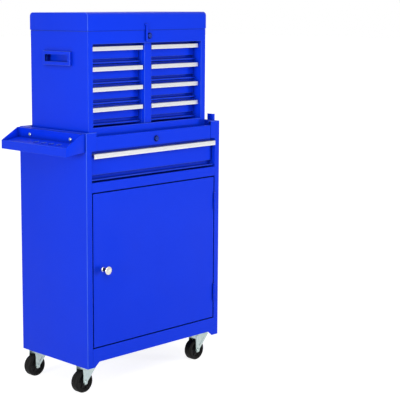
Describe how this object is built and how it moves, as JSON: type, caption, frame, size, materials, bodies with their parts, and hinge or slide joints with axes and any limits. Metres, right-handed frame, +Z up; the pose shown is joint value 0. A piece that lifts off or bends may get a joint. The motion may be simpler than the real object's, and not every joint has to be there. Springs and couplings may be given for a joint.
{
  "type": "tool cabinet with removable tool chest",
  "caption": "Steel tool cabinet on casters with a drawer, a hinged door and a side tray, carrying a loose tool chest with small drawers and a lift-up lid.",
  "frame": {"origin": "on the floor under the middle of the cabinet's footprint", "axes": "+Z up, -Y towards the front, X along the front"},
  "size_m": [0.6183, 0.324, 1.077],
  "materials": {
    "blue_paint": "glossy powder coat",
    "pull_aluminium": "satin anodised",
    "zinc": "bright zinc plate",
    "black_rubber": "smooth",
    "mat_rubber": "fine ribbed",
    "knob_nickel": "satin nickel",
    "lock_metal": "polished",
    "catch_plastic": "moulded"
  },
  "bodies": {
    "cabinet": {"left_side_panel": "blue_paint", "right_side_panel": "blue_paint", "back_panel": "blue_paint", "top_front_panel": "blue_paint", "front_rails": "blue_paint", "floor_panel": "blue_paint", "top_pan": "blue_paint", "top_mat": "mat_rubber", "side_tray": "blue_paint", "hanger_bracket": "blue_paint", "cabinet_fasteners": "zinc", "frame_hinge_leaves": "blue_paint", "door_catch": "catch_plastic", "wide_drawer_runners": "zinc", "cabinet_lock_sleeve": "lock_metal", "caster_plates": "zinc"},
    "door": {"door_panel": "blue_paint", "door_knob": "knob_nickel", "door_hinge_leaves": "blue_paint"},
    "wide_drawer": {"wide_drawer_box": "blue_paint", "wide_drawer_pull": "pull_aluminium"},
    "cabinet_lock": {"cabinet_lock_plug": "lock_metal"},
    "chest": {"chest_shell": "blue_paint", "chest_front_frame": "blue_paint", "chest_divider": "blue_paint", "chest_runners": "blue_paint", "chest_pan": "blue_paint", "chest_mat": "mat_rubber", "chest_side_handles": "blue_paint", "chest_lock_sleeve": "lock_metal", "chest_hinge_leaf": "blue_paint"},
    "lid": {"lid_shell": "blue_paint", "lid_strap": "blue_paint", "lid_lock_hook": "blue_paint", "lid_hinge_leaf": "blue_paint"},
    "chest_lock": {"chest_lock_plug": "lock_metal"},
    "left_drawer_1": {"left_drawer_1_box": "blue_paint", "left_drawer_1_pull": "pull_aluminium"},
    "left_drawer_2": {"left_drawer_2_box": "blue_paint", "left_drawer_2_pull": "pull_aluminium"},
    "left_drawer_3": {"left_drawer_3_box": "blue_paint", "left_drawer_3_pull": "pull_aluminium"},
    "left_drawer_4": {"left_drawer_4_box": "blue_paint", "left_drawer_4_pull": "pull_aluminium"},
    "right_drawer_1": {"right_drawer_1_box": "blue_paint", "right_drawer_1_pull": "pull_aluminium"},
    "right_drawer_2": {"right_drawer_2_box": "blue_paint", "right_drawer_2_pull": "pull_aluminium"},
    "right_drawer_3": {"right_drawer_3_box": "blue_paint", "right_drawer_3_pull": "pull_aluminium"},
    "right_drawer_4": {"right_drawer_4_box": "blue_paint", "right_drawer_4_pull": "pull_aluminium"},
    "caster_front_left": {"caster_fork_front_left": "zinc"},
    "wheel_front_left": {"caster_wheel_front_left": "black_rubber"},
    "caster_front_right": {"caster_fork_front_right": "zinc"},
    "wheel_front_right": {"caster_wheel_front_right": "black_rubber"},
    "caster_rear_left": {"caster_fork_rear_left": "zinc"},
    "wheel_rear_left": {"caster_wheel_rear_left": "black_rubber"},
    "caster_rear_right": {"caster_fork_rear_right": "zinc"},
    "wheel_rear_right": {"caster_wheel_rear_right": "black_rubber"}
  },
  "joints": [
    {"name": "door_hinge", "type": "hinge", "parent": "cabinet", "child": "door", "pos_m": [0.24825, -0.1514, 0.356], "axis": [0, 0, 1], "range_deg": [0, 115]},
    {"name": "wide_drawer_slide", "type": "slide", "parent": "cabinet", "child": "wide_drawer", "axis": [0, -1, 0], "range_m": [0, 0.2]},
    {"name": "cabinet_lock_turn", "type": "hinge", "parent": "cabinet", "child": "cabinet_lock", "pos_m": [0, -0.135, 0.714], "axis": [0, -1, 0], "range_deg": [0, 90]},
    {"name": "chest_lift", "type": "slide", "parent": "cabinet", "child": "chest", "axis": [0, 0, 1], "range_m": [0, 0.3]},
    {"name": "lid_hinge", "type": "hinge", "parent": "chest", "child": "lid", "pos_m": [0, 0.1371, 1.025], "axis": [-1, 0, 0], "range_deg": [0, 100]},
    {"name": "chest_lock_turn", "type": "hinge", "parent": "chest", "child": "chest_lock", "pos_m": [0, -0.11, 1.0097], "axis": [0, -1, 0], "range_deg": [0, 90]},
    {"name": "left_drawer_1_slide", "type": "slide", "parent": "chest", "child": "left_drawer_1", "axis": [0, -1, 0], "range_m": [0, 0.15]},
    {"name": "left_drawer_2_slide", "type": "slide", "parent": "chest", "child": "left_drawer_2", "axis": [0, -1, 0], "range_m": [0, 0.15]},
    {"name": "left_drawer_3_slide", "type": "slide", "parent": "chest", "child": "left_drawer_3", "axis": [0, -1, 0], "range_m": [0, 0.15]},
    {"name": "left_drawer_4_slide", "type": "slide", "parent": "chest", "child": "left_drawer_4", "axis": [0, -1, 0], "range_m": [0, 0.15]},
    {"name": "right_drawer_1_slide", "type": "slide", "parent": "chest", "child": "right_drawer_1", "axis": [0, -1, 0], "range_m": [0, 0.15]},
    {"name": "right_drawer_2_slide", "type": "slide", "parent": "chest", "child": "right_drawer_2", "axis": [0, -1, 0], "range_m": [0, 0.15]},
    {"name": "right_drawer_3_slide", "type": "slide", "parent": "chest", "child": "right_drawer_3", "axis": [0, -1, 0], "range_m": [0, 0.15]},
    {"name": "right_drawer_4_slide", "type": "slide", "parent": "chest", "child": "right_drawer_4", "axis": [0, -1, 0], "range_m": [0, 0.15]},
    {"name": "swivel_front_left", "type": "hinge", "parent": "cabinet", "child": "caster_front_left", "pos_m": [-0.232, -0.108, 0.0825], "axis": [0, 0, 1], "continuous": true},
    {"name": "roll_front_left", "type": "hinge", "parent": "caster_front_left", "child": "wheel_front_left", "pos_m": [-0.259, -0.108, 0.03175], "axis": [0, 1, 0], "continuous": true},
    {"name": "swivel_front_right", "type": "hinge", "parent": "cabinet", "child": "caster_front_right", "pos_m": [0.232, -0.108, 0.0825], "axis": [0, 0, 1], "continuous": true},
    {"name": "roll_front_right", "type": "hinge", "parent": "caster_front_right", "child": "wheel_front_right", "pos_m": [0.205, -0.108, 0.03175], "axis": [0, 1, 0], "continuous": true},
    {"name": "swivel_rear_left", "type": "hinge", "parent": "cabinet", "child": "caster_rear_left", "pos_m": [-0.232, 0.108, 0.0825], "axis": [0, 0, 1], "continuous": true},
    {"name": "roll_rear_left", "type": "hinge", "parent": "caster_rear_left", "child": "wheel_rear_left", "pos_m": [-0.259, 0.108, 0.03175], "axis": [0, 1, 0], "continuous": true},
    {"name": "swivel_rear_right", "type": "hinge", "parent": "cabinet", "child": "caster_rear_right", "pos_m": [0.232, 0.108, 0.0825], "axis": [0, 0, 1], "continuous": true},
    {"name": "roll_rear_right", "type": "hinge", "parent": "caster_rear_right", "child": "wheel_rear_right", "pos_m": [0.205, 0.108, 0.03175], "axis": [0, 1, 0], "continuous": true}
  ]
}
